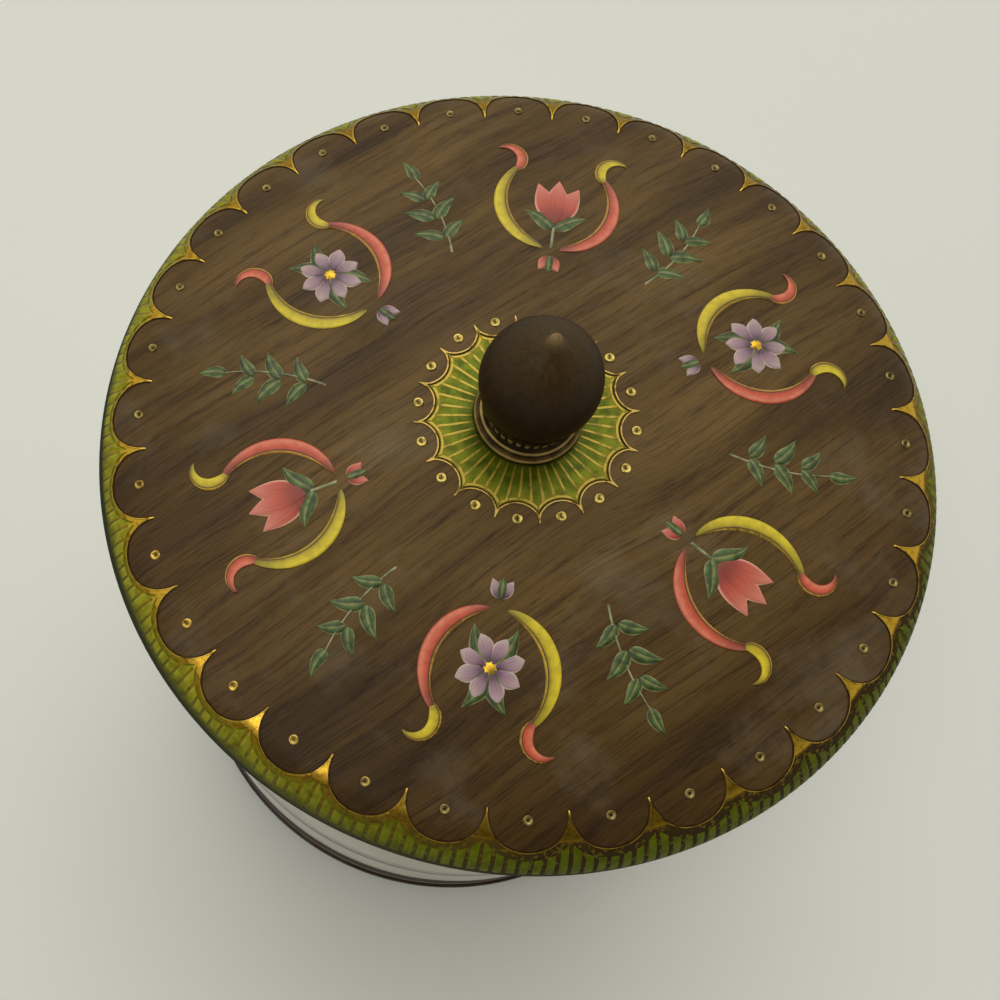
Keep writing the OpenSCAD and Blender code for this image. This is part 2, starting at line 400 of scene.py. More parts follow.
def bare_tin():
    """Rolled tinplate, bare inside: a soft grey metal with fine rolling lines and slight blotches."""
    made, add, shader, where = material("bare_tinplate", metallic=1.0, roughness=0.32)
    tint = clouds(add, where, 12, 5.0, [(0.3, "#a9a69c"), (0.7, "#c6c3ba")])
    rough = add("MapRange", [grain(add, where, (0.3, 20, 20), 2.0), 0.0, 1.0, 0.24, 0.42])
    set_inputs(shader, {"Base Color": tint, "Roughness": rough})
    return made


def border_print():
    """Gold foil ground of the border, banded by arc length: bright triangles between the scallops, a brown
    line just past the end of the dome, then olive gold that darkens to matt green at the edge. Foil shows a
    stipple, and below the brown line it is rubbed down to brown ink on the side of the lid that was handled
    most, darkened there by painted shade too. Painted shade also darkens the foil towards the back, and a
    painted reflection lightens the foil between the bars on the far side."""
    made, add, shader, where = material("gold_foil_border", roughness=0.28, specular_ior_level=0.08)
    s = print_uv(add)[1]
    side = add("VectorMath", [where, WORN_AND_SHADED_SIDE], **TOWARDS)
    # The dark edge starts up to 3.4 mm higher on the side away from the handled one
    raised = add("MapRange", [side, -40 * MM, 40 * MM, 0.034, 0.0])
    early = add("Math", [raised, add("MapRange", [s, 0.76, 0.79])], **PRODUCT)
    s_print = add("Math", [s, early])
    bands = add("ValToRGB", [s_print], [
        (CREASE_S / TENTH, "#bb952f"), ((CREASE_S + 0.15 * MM) / TENTH, "#7c5c1a"),
        ((CREASE_S + 0.4 * MM) / TENTH, "#7c5c1a"), (CREASE_END_S / TENTH, "#8f701d"), (0.775, "#80701c"),
        (0.8, "#726a1e"), (0.825, "#57561c"), (0.842, "#222a10"), (0.87, "#1c2210")])
    stipple = add("TexNoise", [where, 1 / (0.8 * MM), 3.0])
    worn = add("ValToRGB", [stipple], [(0.34, "#a8743c"), (0.5, WHITE)])
    colour = add("Mix", [0.45, bands, worn], **TIMES)
    # Painted shade: darker towards the back, dimming the foil's reflection of the back lamp there
    back = add("VectorMath", [where, (0.0, 1.0, 0.0)], **TOWARDS)
    colour = add("Mix", [add("MapRange", [back, 15 * MM, 60 * MM]), colour, "#bcbcb4"], **TIMES)
    # Rubbed down to brown on the handled side, where specks of foil are left; the darkening there is also
    # painted shade
    near = add("MapRange", [side, 25 * MM, 65 * MM])
    below = add("MapRange", [s, CREASE_S / TENTH, CREASE_END_S / TENTH])
    bare = add("MapRange", [stipple, 0.54, 0.64, 1.0, 0.5])
    rubbed = add("Math", [add("Math", [near, bare], **PRODUCT), below], **PRODUCT)
    colour = add("Mix", [rubbed, colour, "#34260e"], **OVER)
    # Painted reflection: on the far side the foil between the bars is lighter
    foil = add("MapRange", [s_print, 0.8, 0.838, 1.0, 0.0])
    far = add("MapRange", [side, -20 * MM, -65 * MM, 0.0, 0.6])
    painted_far_reflection = add("Math", [add("Math", [far, foil], **PRODUCT), below], **PRODUCT)
    colour = add("Mix", [painted_far_reflection, colour, "#949042"], **OVER)
    metal = add("Math", [foil, add("Math", [1.0, rubbed], **LESS)], **PRODUCT)
    rough = add("MapRange", [metal, 0.0, 1.0, 0.75, 0.28])
    dents = add("Bump", {"Strength": 0.3, "Distance": 0.05 * MM, "Height": stipple})
    set_inputs(shader, {"Base Color": colour, "Metallic": metal, "Roughness": rough, "Normal": dents})
    return made


def line_print(name, size, detail, stops, **sockets):
    """Ink or foil of a thin line or small spot, worn or uneven in clouds of a real size in millimetres."""
    made, add, shader, where = material(name, **sockets)
    set_inputs(shader, {"Base Color": clouds(add, where, size, detail, stops)})
    return made


def dot_print(name, middle, ring, foot, hole):
    """Foil ring round a sunk middle, on each pressed dot, worn in places. The uv's second value runs from
    the dot's centre to its rim, and hole is the share of it that the dark middle takes."""
    made, add, shader, where = material(name, metallic=0.85, roughness=0.34)
    out = print_uv(add)[1]
    dull = add("ValToRGB", [out], [
        (0.0, middle), (hole, middle), (hole + 0.14, ring), (0.78, ring), (0.93, foot)])
    # Painted highlight: the dots at the front left glint with brighter foil
    bright = add("ValToRGB", [out], [
        (0.0, "#584420"), (hole, "#7c622c"), (hole + 0.1, "#d2b254"), (0.82, "#c4a44a"), (0.95, "#745c2a")])
    off_glint = add("VectorMath", [where, (-59 * MM, -41 * MM, 160 * MM)], **DISTANCE)
    glint_share = add("MapRange", [off_glint, 16 * MM, 48 * MM, 1.0, 0.0])
    rings = add("Mix", [glint_share, dull, bright], **OVER)
    worn = clouds(add, where, 1.2, 3.0, [(0.38, "#6e5a34"), (0.56, WHITE)])
    set_inputs(shader, {"Base Color": add("Mix", [0.7, rings, worn], **TIMES)})
    return made


def bar_print():
    """Green transparent ink over foil, on the border's bars: a pale outline, olive green inside, and duller
    towards the foot. The foil gives the ink a slight shine."""
    made, add, shader, where = material("green_bar_ink", metallic=0.25, roughness=0.55,
                                        specular_ior_level=0.06)
    across, along = print_uv(add)
    outline = add("ValToRGB", [across], [
        (0.0, "#a8a440"), (0.1, "#a8a440"), (0.2, "#989426"), (0.8, "#8e8c20"), (0.9, "#9c9834")])
    ends = add("ValToRGB", [along], [
        (0.0, "#b0b080"), (0.06, "#b0b080"), (0.12, WHITE), (0.55, WHITE), (0.95, "#8a9070")])
    colour = add("Mix", [1.0, outline, ends], **TIMES)
    # Darker green on the side where the ground is rubbed: thinner foil there, and painted shade
    near = add("MapRange", [add("VectorMath", [where, WORN_AND_SHADED_SIDE], **TOWARDS), 10 * MM, 65 * MM])
    colour = add("Mix", [near, colour, "#5a6406"], **OVER)
    patchy = clouds(add, where, 1.8, 4.0, [(0.35, "#b8b080"), (0.6, WHITE)])
    set_inputs(shader, {"Base Color": add("Mix", [0.7, colour, patchy], **TIMES)})
    return made


def field_print():
    """Green transparent ink over foil, round the knob: yellow green in the middle of each arc's share,
    darker beside the arcs, darkest at the knob's foot as painted shade of the cup, and a little mottled."""
    made, add, shader, where = material("green_rosette_ink", metallic=0.38, roughness=0.36,
                                        specular_ior_level=0.15)
    # Painted shade: darkest at the knob's foot, next to the cup
    tone = add("ValToRGB", [print_uv(add)[1]], [
        (0.0, "#464f0d"), (0.25, "#626b11"), (0.7, "#717815"), (0.9, "#7e751a"), (1.0, "#846d1c")])
    mottle = clouds(add, where, 2.2, 4.0, [(0.34, "#8ca060"), (0.6, WHITE)])
    set_inputs(shader, {"Base Color": add("Mix", [0.8, tone, mottle], **TIMES)})
    return made


def scroll_print(name, edge, shade, body, light):
    """Flat ink on a scroll: a gold line with a brown one inside it along one side, a body that lightens
    towards the other, and darker ends. The foil under the gold line shows as fine specks."""
    made, add, shader, where = material(name, roughness=0.44, specular_ior_level=0.4)
    across, along = print_uv(add)
    colour = add("ValToRGB", [across], [
        (0.0, "#4a3418"), (0.05, edge), (0.15, edge), (0.18, "#4a2c16"), (0.22, "#4a2c16"), (0.26, shade),
        (0.45, body), (0.8, light), (0.93, body), (0.97, "#54361e")])
    patchy = clouds(add, where, 1.4, 4.0, [(0.36, shade), (0.55, WHITE)])
    ends = add("ValToRGB", [along], [(0.0, "#9a9a9a"), (0.2, WHITE), (0.7, WHITE), (1.0, "#8c8c8c")])
    for share, tone in ((0.25, patchy), (1.0, ends)):
        colour = add("Mix", [share, colour, tone], **TIMES)
    gold_line = add("ValToRGB", [across], [(0.0, BLACK), (0.05, WHITE), (0.14, WHITE), (0.17, BLACK)])
    specks = add("MapRange", [add("TexNoise", [where, 1 / (0.5 * MM), 1.0]), 0.44, 0.52])
    metal = add("Math", [gold_line, specks], **PRODUCT)
    set_inputs(shader, {"Base Color": colour, "Metallic": metal})
    return made


def petal_print(name, heart, body, tip, edge, vein):
    """Ink shaded along a petal from its heart to its tip, with fine darker veins and a pale outline."""
    made, add, shader, _ = material(name, roughness=0.42, specular_ior_level=0.4)
    across, along = print_uv(add)
    length = add("ValToRGB", [along], [(0.0, heart), (0.28, vein), (0.5, body), (0.9, tip)])
    drawn = add("Mapping", {"Vector": add("UVMap", uv_map="print"), "Scale": (9.0, 1.2, 1.0)})
    veins = add("MapRange", [add("TexNoise", [drawn, 1.0, 2.0]), 0.54, 0.7, 0.0, 0.55])
    colour = add("Mix", [veins, length, vein], **OVER)
    outline = add("ValToRGB", [across], [
        (0.0, WHITE), (0.05, WHITE), (0.13, BLACK), (0.87, BLACK), (0.95, WHITE)])
    set_inputs(shader, {"Base Color": add("Mix", [outline, colour, edge], **OVER)})
    return made


def leaf_print():
    """Leaf ink: thin green shaded to dark over the walnut, with a pale outline and a pale midrib."""
    made, add, shader, where = material("green_leaf_ink", roughness=0.45, specular_ior_level=0.4)
    colour = add("ValToRGB", [print_uv(add)[0]], [
        (0.0, "#90905c"), (0.06, "#90905c"), (0.14, "#323f16"), (0.38, "#4c6424"), (0.47, "#7c8048"),
        (0.53, "#7c8048"), (0.62, "#34461a"), (0.86, "#54702e"), (0.94, "#90905c")])
    patchy = clouds(add, where, 1.5, 3.0, [(0.35, "#8f8a70"), (0.6, WHITE)])
    set_inputs(shader, {"Base Color": add("Mix", [0.8, colour, patchy], **TIMES)})
    return made


def wall_print():
    """Printed wall under a gloss varnish: warm pale grey with a few thin brown lines round it, a brown band
    above the bottom seam, and a bare strip beside the side seam, where print is left off. The varnish has
    yellowed in faint clouds, and the band is rubbed dull and chipped low down."""
    made, add, shader, where = material("wall_litho_enamel", roughness=0.3, specular_ior_level=0.2)
    round_wall, height = print_uv(add)
    # The stops are shares of 160 mm of height
    colour = add("ValToRGB", [add("Math", [height, TENTH / (160 * MM)], **PRODUCT)], [
        (0.028, "#d8c2bc"), (0.03, "#2b1e17"), (0.125, "#33241a"), (0.128, "#dccabc"), (0.14, "#dccabc"),
        (0.143, "#5a463a"), (0.148, "#5a463a"), (0.151, "#c2bbb6"), (0.27, "#beb7b2"), (0.273, "#3c2d24"),
        (0.295, "#3c2d24"), (0.298, "#beb7b2"), (0.316, "#beb7b2"), (0.318, "#4e3c31"), (0.327, "#4e3c31"),
        (0.33, "#beb7b2"), (0.905, "#b6b0ad"), (0.907, "#4a3a30"), (0.912, "#4a3a30"), (0.914, "#b6b0ad")])
    aged = clouds(add, where, 26, 5.0, [(0.35, "#ebe5d4"), (0.65, WHITE)])
    colour = add("Mix", [0.8, colour, aged], **TIMES)
    low = add("MapRange", [height, 0.03, 0.2, 0.1, 0.0])
    chipped = add("Math", [add("TexNoise", [where, 1 / (1.3 * MM), 4.0, 0.7]), low])
    colour = add("Mix", [add("MapRange", [chipped, 0.72, 0.75]), colour, "#a59a88"], **OVER)
    # The side seam is a quarter of a turn round
    off_seam = add("Math", [add("Math", [round_wall, 0.25], **LESS)], operation="ABSOLUTE")
    strip = (LAP_W / 2 + 0.8 * MM) / (TURN * WALL_R)
    bare = add("MapRange", [off_seam, strip, strip * 1.05, 1.0, 0.0])
    colour = add("Mix", [bare, colour, "#b3b0a6"], **OVER)
    gloss = add("MapRange", [height, 0.19, 0.21, 0.6, 0.3])
    set_inputs(shader, {"Base Color": colour, "Metallic": bare, "Roughness": gloss})
    return made


def base_enamel():
    """Dark brown stoving enamel on the rolled seam: glossy, with small chips down to the grey metal."""
    made, add, shader, where = material("brown_base_enamel", roughness=0.34, specular_ior_level=0.25)
    tone = clouds(add, where, 4, 4.0, [(0.3, "#1d1510"), (0.6, "#35261c"), (0.75, "#46281e")])
    chips = add("MapRange", [add("TexNoise", [where, 1 / (1.1 * MM), 4.0, 0.7]), 0.66, 0.7])
    set_inputs(shader, {"Base Color": add("Mix", [chips, tone, "#8d8474"], **OVER), "Metallic": chips})
    return made


def stained_knob():
    """Turned hardwood, stained near black brown under a worn satin lacquer, with faint grain along its height
    and fine rings from turning. Lighter towards the top, partly worn by handling and partly painted light
    from above, with a painted highlight at the tip and painted shade low down."""
    made, add, shader, where = material("stained_hardwood", roughness=0.48, specular_ior_level=0.16)
    height = add("SeparateXYZ", [where]).outputs["Z"]
    # Painted light: darkest low down, lighter towards the top, with a painted highlight at the tip
    lit_rise = add("MapRange", [height, acorn_low.z + 4 * MM, acorn_high.z])
    tone = add("ValToRGB", [lit_rise], [
        (0.0, "#120901"), (0.35, "#1e1202"), (0.7, "#322208"), (0.9, "#41300f"), (0.97, "#7a6440")])
    fibres = grain(add, where, (0.9, 0.9, 9), 3.0)
    streaks = add("ValToRGB", [fibres], [(0.35, "#9a8c80"), (0.6, WHITE)])
    colour = add("Mix", [0.5, tone, streaks], **TIMES)
    rings = grain(add, where, (1000, 1000, 0.35), 1.0)
    ridges = add("Bump", {"Strength": 0.12, "Distance": 0.05 * MM, "Height": rings})
    worn = add("MapRange", [fibres, 0.0, 1.0, 0.42, 0.58])
    set_inputs(shader, {"Base Color": colour, "Roughness": worn, "Normal": ridges})
    return made


def aged_brass():
    """Spun and fluted brass, long in use: bright only on beads and ridges, with brown tarnish elsewhere. The
    brightness on the beads is a painted highlight. The uv's second value is 1 where it is bright and 0 where
    it is dark."""
    made, add, shader, where = material("aged_brass", metallic=0.35, roughness=0.34, specular_ior_level=0.1)
    patchy = add("TexNoise", [where, 1 / (2.5 * MM), 5.0])
    level = add("Math", [print_uv(add)[1], add("MapRange", [patchy, 0.0, 1.0, -0.3, 0.3])])
    tint = add("ValToRGB", [level], [
        (0.15, "#261b0d"), (0.4, "#56431f"), (0.8, "#a08a52"), (1.0, "#b8a26c")])
    rough = add("MapRange", [level, 0.0, 1.0, 0.52, 0.26])
    set_inputs(shader, {"Base Color": tint, "Roughness": rough})
    return made


def turned_brass():
    """Free-cutting brass turned on a lathe: yellow metal with fine rings round the axis."""
    made, add, shader, where = material("turned_brass", metallic=1.0, roughness=0.28)
    rings = grain(add, where, (8, 8, 0.4), 2.0)
    tint = add("ValToRGB", [rings], [(0.3, "#b08a3e"), (0.7, "#cfae62")])
    ridges = add("Bump", {"Strength": 0.25, "Distance": 0.04 * MM, "Height": rings})
    set_inputs(shader, {"Base Color": tint, "Normal": ridges})
    return made


def zinc_plate():
    """Bright zinc plating on steel: cool grey metal, slightly cloudy, dulled in small spots."""
    made, add, shader, where = material("zinc_plated_steel", metallic=1.0, roughness=0.3)
    cloud = add("TexNoise", [where, 1 / (2 * MM), 5.0])
    tint = add("ValToRGB", [cloud], [(0.32, "#8f9194"), (0.62, "#b9bbbc")])
    rough = add("MapRange", [cloud, 0.0, 1.0, 0.22, 0.45])
    set_inputs(shader, {"Base Color": tint, "Roughness": rough})
    return made


WOOD = wood_print()
TIN = bare_tin()
BORDER = border_print()
ENAMEL = wall_print()
BASE = base_enamel()
HARDWOOD = stained_knob()
BRASS = aged_brass()
INSERT_BRASS = turned_brass()
ZINC = zinc_plate()

# Foil stamped as thin lines and small spots: bright metal, worn to a darker tone in small places
PALE_GOLD = line_print("pale_gold_foil", 1.6, 3.0, [(0.38, "#705624"), (0.5, "#ab8f4a")], metallic=0.9,
                       roughness=0.36)
GOLD = line_print("gold_foil", 1.6, 3.0, [(0.38, "#7d6026"), (0.5, "#b8963a")], metallic=1.0, roughness=0.32)
RAY_GOLD = line_print("yellow_ray_foil", 1.6, 3.0, [(0.38, "#7c6e22"), (0.5, "#ac9232")], metallic=0.6,
                      roughness=0.38)
SEED = line_print("yellow_seed_foil", 1.6, 3.0, [(0.38, "#8a5a1c"), (0.5, "#d8b03a")], metallic=1.0,
                  roughness=0.4)
DOT_BRIGHT = dot_print("bright_dot_foil", "#4a3614", "#cdb562", "#6a5424", 0.18)
DOT_DULL = dot_print("dull_dot_foil", "#40301c", "#94804a", "#4c3d22", 0.24)

# Inks of lines: dark brown, nearly matt and slightly uneven, and pale olive, a little broken up
BROWN = line_print("brown_line_ink", 2, 2.0, [(0.35, "#2a1b10"), (0.7, "#4a3218")], roughness=0.55,
                   specular_ior_level=0.08)
STEM = line_print("olive_stem_ink", 2, 2.0, [(0.35, "#5c6440"), (0.65, "#a39d72")], roughness=0.45,
                  specular_ior_level=0.4)
BAR_GREEN = bar_print()
FIELD_GREEN = field_print()
CORAL = scroll_print("coral_scroll_ink", "#b08238", "#a64426", "#c65234", "#d47c5e")
YELLOW = scroll_print("yellow_scroll_ink", "#a88a2a", "#9a8410", "#c4ae10", "#d6c024")
MAUVE = petal_print("mauve_petal_ink", "#4c2f46", "#947680", "#b49896", "#c6b2a4", "#644458")
ROSE = petal_print("coral_petal_ink", "#6e2a1c", "#b8503c", "#cc7a66", "#dca08a", "#8e3626")
LEAF = leaf_print()


def lid_sheet():
    """The lid's drawn sheet: printed outside, bare inside, with its land, dome, shoulder and hem curl."""
    out = np.concatenate([np.linspace(LAND_R, DOME_END, 30), np.linspace(DOME_END, LID_END, 25)[1:]])
    face = on_lid(out, 0, FACE)[:, [0, 2]]
    under = on_lid(out, 0, -SHEET)[:, [0, 2]]
    hem = (LID_R - HEM_R, SHOULDER_Z)
    curl = arc(hem, HEM_R + FACE, 0, HEM_END, 16)
    inner_curl = arc(hem, HEM_R - SHEET, HEM_END, 0, 16)
    land = [[HOLE_R, LAND_Z + FACE]]
    land_under = [[HOLE_R, LAND_Z - SHEET]]
    top = turned(np.concatenate([land, face]), ROUND)
    edge, edge_uv = turned(curl, ROUND)
    edge_uv[..., 1] = 1.0
    inside = turned(np.concatenate([curl[-1:], inner_curl[:-1], under[::-1], land_under, land]), ROUND)
    piece = make_piece("lid_sheet", "lid", [top, (edge, edge_uv), inside], [WOOD, BORDER, TIN],
                       part=[0, 1, 2])
    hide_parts("lid")


def border_ground():
    """Gold ground outside the scallops: each lobe's columns follow its half circle, and its rows run from
    there down to the lid's edge."""
    psi = np.linspace(-PI / 2, PI / 2, 25)
    inner = np.tile(LOBE_S + LOBE_R * np.cos(psi), LOBES)
    lobe = np.arange(LOBES)[:, None] * 2 * LOBE_HALF + LOBE_TURN
    turn = (lobe + LOBE_HALF * np.sin(psi)).ravel()
    t = steps(22, 0.03)[:, None]
    s = inner + (LID_END - inner) * (t + 1) / 2
    print_piece("border_ground", BORDER, s, turn, rim(t, 0.03), GROUND, (turn / (2 * LOBE_HALF), s / TENTH))


def border_bars():
    """Upright bars below the scallops, seven to a lobe, their tops cut by a circle outside the lobe's. They
    are printed a little off centre: with c = 1 + cos(angle from OFF_TURN), their tops lie 0.45 + 0.36 c
    squared mm outside the lobe's circle, up to 0.9 mm more at the back, and their feet end at an arc length
    of 80.2 + 0.95 c squared mm. They take BAR_SHARE of their pitch, and up to 0.14 more towards -X."""
    middle = round_lid(BAR_COUNT, 0.0)
    across = steps(4, 0.16)[None, None, :]
    along = steps(9, 0.06)[None, :, None]
    wide = BAR_SHARE + 0.14 * np.clip(-np.cos(middle), 0, 1) ** 2
    turn = middle + across * (TURN / BAR_COUNT) * wide / 2
    off = (turn + LOBE_HALF) % (2 * LOBE_HALF) - LOBE_HALF
    off_centre = (1 + np.cos(turn - OFF_TURN)) ** 2 * MM
    radius = LOBE_R + 0.45 * MM + 0.36 * off_centre + 0.9 * MM * np.clip(np.sin(middle), 0, 1)
    top = LOBE_S + np.sqrt(np.maximum(radius ** 2 - (off / LOBE_HALF * LOBE_R) ** 2, 0))
    foot = 80.2 * MM + 0.95 * off_centre
    s = top + (foot - top) * (along + 1) / 2
    share = np.minimum(rim(across, 0.16), rim(along, 0.06))
    uv = (across / 2 + 0.5, along / 2 + 0.5)
    print_piece("border_bars", BAR_GREEN, s, turn + LOBE_TURN, share, BARS, uv)


def scallop_line(name, radius, width, ink, top):
    """A line along every scallop. The half circle is drawn on the rolled-out lid: sideways it is squeezed
    to the lobe's share of the turn. It has its full width at the cusps, and half of it in the middle of a
    lobe."""
    psi = np.linspace(-PI / 2, PI / 2, 41)[None, :, None]
    across = steps(2, 0.3)[None, None, :]
    r = radius + across * width / 4 * (1 + np.sin(psi) ** 2)
    turn = round_lid(LOBES, LOBE_TURN) + np.clip(r * np.sin(psi) / LOBE_R, -1, 1) * LOBE_HALF
    s = LOBE_S + r * np.cos(psi)
    share = np.minimum(rim(across, 0.3), rim(psi / (PI / 2), 0.04))
    print_piece(name, ink, s, turn, share, top, (across / 2 + 0.5, psi / PI + 0.5))


def pressed_dots(name, count, s0, turn0, radius, hole, ink):
    """Small pressed rings: a raised rim round a sunk middle, turned about the dot's own centre. Each row is
    one distance from the centre, as a share of the radius, and the height there in hundredths of a
    millimetre. The sunk middle takes the share hole of the radius."""
    spin = np.linspace(0, TURN, 19)[None, :]
    spin[:, -1] = 0
    section = [(0, 6), (hole / 2, 6), (hole, 9), (hole + 0.1, 20),
               (0.65, 30), (0.78, 28), (0.9, 16), (1.0, 0)]
    out, height = np.array(section).T[:, :, None]
    centre_r = CROWN_R * np.sin(s0 / CROWN_R)
    x, y = out * np.cos(spin) * radius, out * np.sin(spin) * radius
    s, turn = place(x, y, centre_r, round_lid(count, turn0))
    print_piece(name, ink, s, turn, height / 30, SUNK + DOTS, (spin / TURN, out))


def rosette_edge(phi):
    """Radius of the rosette's edge at an angle phi from the middle of its arc: where the ray first meets
    the arc's circle."""
    return ARC_C * np.cos(phi) - np.sqrt(np.maximum(ARC_R ** 2 - (ARC_C * np.sin(phi)) ** 2, 0))


def rosette_field():
    """Green ground round the knob, out to the hollow arcs: each column is a ray from foot to edge."""
    n = 24
    phi = np.tile(np.linspace(-PI / POINTS, PI / POINTS, n + 1)[:-1], POINTS)
    turn = (np.arange(POINTS)[:, None] * TURN / POINTS + phi.reshape(POINTS, n)).ravel()
    phi, turn = np.append(phi, phi[0]), np.append(turn, turn[0])
    t = steps(10, 0.04)[:, None]
    foot = LAND_R - 1.1 * MM
    s = foot + (rosette_edge(phi) - foot) * (t + 1) / 2
    uv = (turn * POINTS / TURN, t / 2 + 0.5)
    print_piece("rosette_field", FIELD_GREEN, s, turn + POINT_TURN, rim(t, 0.04), GROUND, uv)


def rosette_rays():
    """Gold lines from the knob's foot towards the rosette's arcs and points, widening a little outwards."""
    turn0 = ((np.arange(RAYS) + 0.5) * TURN / RAYS + PI / POINTS)[:, None, None]
    along = steps(5, 0.1)[None, :, None]
    across = steps(2, 0.3)[None, None, :]
    off = (turn0 + PI / POINTS) % (TURN / POINTS) - PI / POINTS
    start, end = LAND_R - 0.6 * MM, rosette_edge(off) - 0.9 * MM
    share = (along + 1) / 2
    half = (0.22 + 0.12 * share) * MM
    s, turn = place(start + (end - start) * share, across * half, 0.0, turn0 + POINT_TURN)
    up = np.minimum(rim(across, 0.3), rim(along, 0.1))
    print_piece("rosette_rays", RAY_GOLD, s, turn, up, BARS, (across / 2 + 0.5, share))


def rosette_line(name, radius, width, past, ink, top):
    """A line along every hollow arc of the rosette. Each row is an arc that ends where it meets its
    neighbour's, in the plane half way between their middles, or a little past it by the share past of the
    arc."""
    across = steps(2, 0.3)[None, None, :]
    r = radius + across * width / 2
    meet = np.arcsin(np.minimum(ARC_C * math.sin(PI / POINTS) / r, 1)) - PI / POINTS
    t = np.linspace(-1, 1, 33)[None, :, None]
    psi = t * meet * (1 + past)
    s, turn = place(ARC_C - r * np.cos(psi), r * np.sin(psi), 0.0, round_lid(POINTS, POINT_TURN))
    share = np.minimum(rim(across, 0.3), rim(t, 0.06))
    print_piece(name, ink, s, turn, share, top, (across / 2 + 0.5, t / 2 + 0.5))


def rosette_tails():
    """Short tapered marks that run outwards from the rosette's points."""
    across = steps(2, 0.3)[None, None, :]
    along = steps(6, 0.12)[None, :, None]
    u = (along + 1) / 2
    middle = ((np.arange(POINTS) + 0.5) * TURN / POINTS + POINT_TURN)[:, None, None]
    half = (0.42 * (1 - u) ** 1.3 + 0.1) * MM
    s, turn = place((19.1 + 1.7 * u) * MM, across * half, 0.0, middle)
    share = np.minimum(rim(across, 0.3), rim(along, 0.12))
    print_piece("rosette_tails", PALE_GOLD, s, turn, share, LINES + 0.05 * MM, (across / 2 + 0.5, u))


def stroke(bearing, length, half, n=28):
    """A flat stroke in plan: its middle line starts at the origin and turns as bearing(u) says, in radians,
    for u from 0 to 1, and half(u) is its half width. Rows run along it and columns across. Returns x, y,
    across, u."""
    u = np.linspace(0, 1, n + 1)
    way = bearing((u[1:] + u[:-1]) / 2)
    x = np.append(0, np.cumsum(np.cos(way))) * length / n
    y = np.append(0, np.cumsum(np.sin(way))) * length / n
    across = steps(6, 0.14)[None, :]
    side = across * half(u)[:, None]
    x = x[:, None] - side * np.sin(bearing(u))[:, None]
    y = y[:, None] + side * np.cos(bearing(u))[:, None]
    return x, y, across, u[:, None]


def leaf(length, width, bend, fullness=0.62):
    """A pointed leaf or petal along x, bent sideways: half width = width / 2 times sin(pi u to the
    fullness)."""
    return stroke(lambda u: bend * (u - 0.4), length, lambda u: width / 2 * np.sin(PI * u ** fullness), 12)


def motif(name, shape, spots, top, ink, edge=0.45):
    """One shape repeated over the garland. Each spot is (offset outwards, offset sideways, spin, flip,
    scale, angle): where in its medallion, how it is turned, mirrored and scaled, and the medallion's own
    angle. The shape's height rises over the share edge of its half width."""
    x, y, across, u = shape
    out, aside, spin, flip, scale, angle = np.array(spots).T[:, :, None, None]
    px = out + scale * (np.cos(spin) * x - np.sin(spin) * y)
    py = aside + scale * (np.sin(spin) * x + np.cos(spin) * y)
    s, turn = place(px, py * flip, GARLAND_R, angle)
    share = np.minimum(rim(across, edge) ** 0.7, rim(2 * u - 1, 0.1))
    print_piece(name, ink, s, turn, share, top, (across / 2 + 0.5, u))


